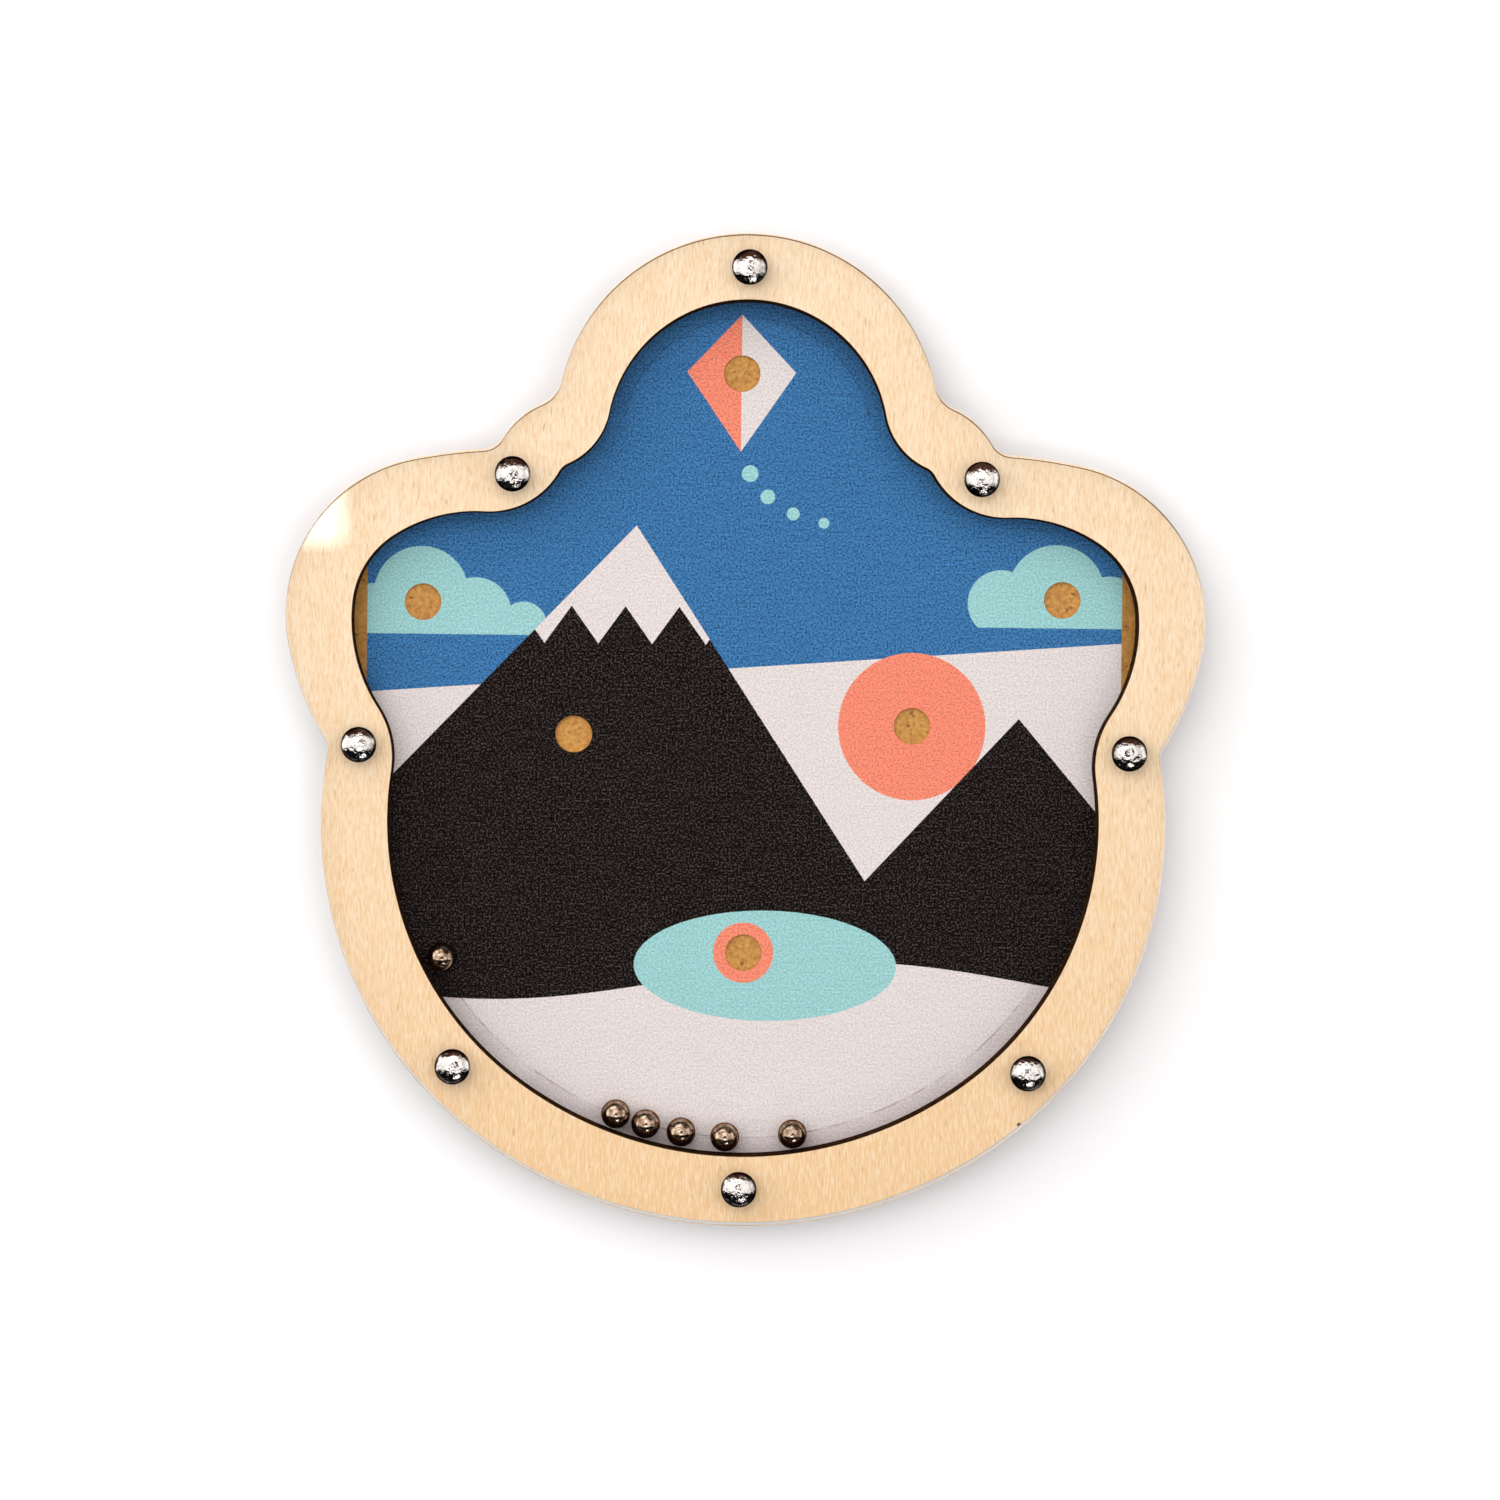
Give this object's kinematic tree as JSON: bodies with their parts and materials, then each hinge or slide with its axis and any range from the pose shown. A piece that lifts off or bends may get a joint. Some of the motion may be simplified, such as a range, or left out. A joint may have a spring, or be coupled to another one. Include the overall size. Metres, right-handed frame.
{
  "type": "tilt puzzle",
  "caption": "Flat tilt puzzle: loose steel balls roll inside a lobed plywood rail, between a printed back panel and a clear nailed-on window, into shallow pockets.",
  "frame": {"origin": "middle of the outline on the back face, which lies on the table", "axes": "+Z out through the window, +Y towards the crown lobe, +X to the right of the window's view"},
  "size_m": [0.1422, 0.1536, 0.0113],
  "materials": {
    "panel": "fibreboard, printed on its face",
    "rail": "birch plywood, laser-cut edges",
    "window": "clear acrylic",
    "nail": "nickel plate, dented by driving",
    "ball": "polished steel"
  },
  "bodies": {
    "case": {"panel": "panel", "rail": "rail", "window": "window", "nail_1": "nail", "nail_2": "nail", "nail_3": "nail", "nail_4": "nail", "nail_5": "nail", "nail_6": "nail", "nail_7": "nail", "nail_8": "nail"},
    "ball_1": {"ball_1": "ball"},
    "ball_2": {"ball_2": "ball"},
    "ball_3": {"ball_3": "ball"},
    "ball_4": {"ball_4": "ball"},
    "ball_5": {"ball_5": "ball"},
    "ball_6": {"ball_6": "ball"}
  },
  "joints": [
    {"name": "ball_1_roll", "type": "slide", "parent": "case", "child": "ball_1", "axis": [-0.0669, 0.9978, 0], "range_m": [0, 0.05541]},
    {"name": "ball_2_roll", "type": "slide", "parent": "case", "child": "ball_2", "axis": [-0.1228, 0.9924, 0], "range_m": [0, 0.05941]},
    {"name": "ball_3_roll", "type": "slide", "parent": "case", "child": "ball_3", "axis": [0.1159, 0.9933, 0], "range_m": [0, 0.1178]},
    {"name": "ball_4_roll", "type": "slide", "parent": "case", "child": "ball_4", "axis": [0.3203, 0.9473, 0], "range_m": [0, 0.02936]},
    {"name": "ball_5_roll", "type": "slide", "parent": "case", "child": "ball_5", "axis": [0.4057, 0.914, 0], "range_m": [0, 0.07021]},
    {"name": "ball_6_roll", "type": "slide", "parent": "case", "child": "ball_6", "axis": [0.4424, 0.8968, 0], "range_m": [0, 0.09313]}
  ]
}
